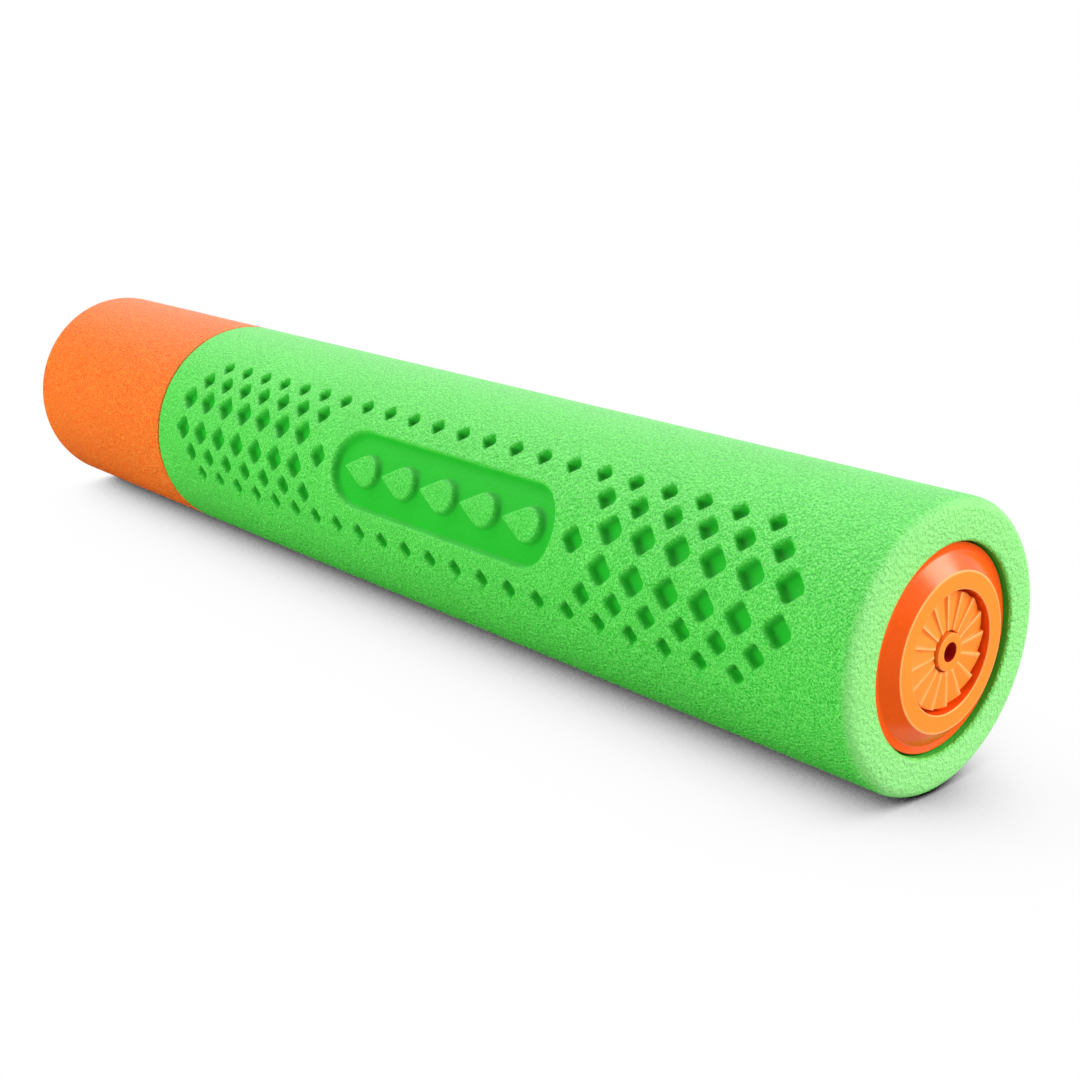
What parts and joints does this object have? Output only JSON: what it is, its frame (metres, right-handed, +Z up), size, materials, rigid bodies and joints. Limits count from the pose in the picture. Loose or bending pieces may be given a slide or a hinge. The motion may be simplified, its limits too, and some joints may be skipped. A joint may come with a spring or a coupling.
{
  "type": "foam water squirter",
  "caption": "Foam water squirter: a stamped foam tube round a plastic barrel, a nozzle cap with a ring of vanes at the front, and a foam-handled plunger that draws out of the rear and turns.",
  "frame": {"origin": "on the floor under the middle of the squirter's length, lying on its side with the plunger pushed home", "axes": "+X along the tube towards the nozzle, +Z up, and the stamped field that faces the picture is on the -Y side"},
  "size_m": [0.278, 0.0498, 0.0498],
  "materials": {
    "green_foam": "matte",
    "orange_foam": "matte",
    "orange_gloss_plastic": "gloss",
    "orange_matte_plastic": "matte",
    "white_plastic": "satin",
    "black_rubber": "matte",
    "zinc_steel": "satin"
  },
  "bodies": {
    "body": {"body_foam": "green_foam", "barrel_tube": "white_plastic", "nozzle_cap": "orange_gloss_plastic", "nozzle_seal": "black_rubber", "vane_ring": "orange_matte_plastic", "rear_cap": "white_plastic"},
    "piston": {"piston_head": "white_plastic", "piston_seal_front": "black_rubber", "piston_seal_rear": "black_rubber", "piston_retainer": "white_plastic"},
    "plunger": {"swivel_plug": "white_plastic", "rod_tube": "white_plastic", "stop_bumper": "black_rubber", "handle_core": "white_plastic", "rod_end_plug": "white_plastic", "handle_washer": "zinc_steel", "handle_screw": "zinc_steel", "handle_end_cap": "white_plastic", "handle_foam": "orange_foam"}
  },
  "joints": [
    {"name": "plunger_slide", "type": "slide", "parent": "body", "child": "piston", "axis": [-1, 0, 0], "range_m": [0, 0.15]},
    {"name": "handle_twist", "type": "hinge", "parent": "piston", "child": "plunger", "pos_m": [0, 0, 0.02491], "axis": [1, 0, 0], "continuous": true}
  ]
}
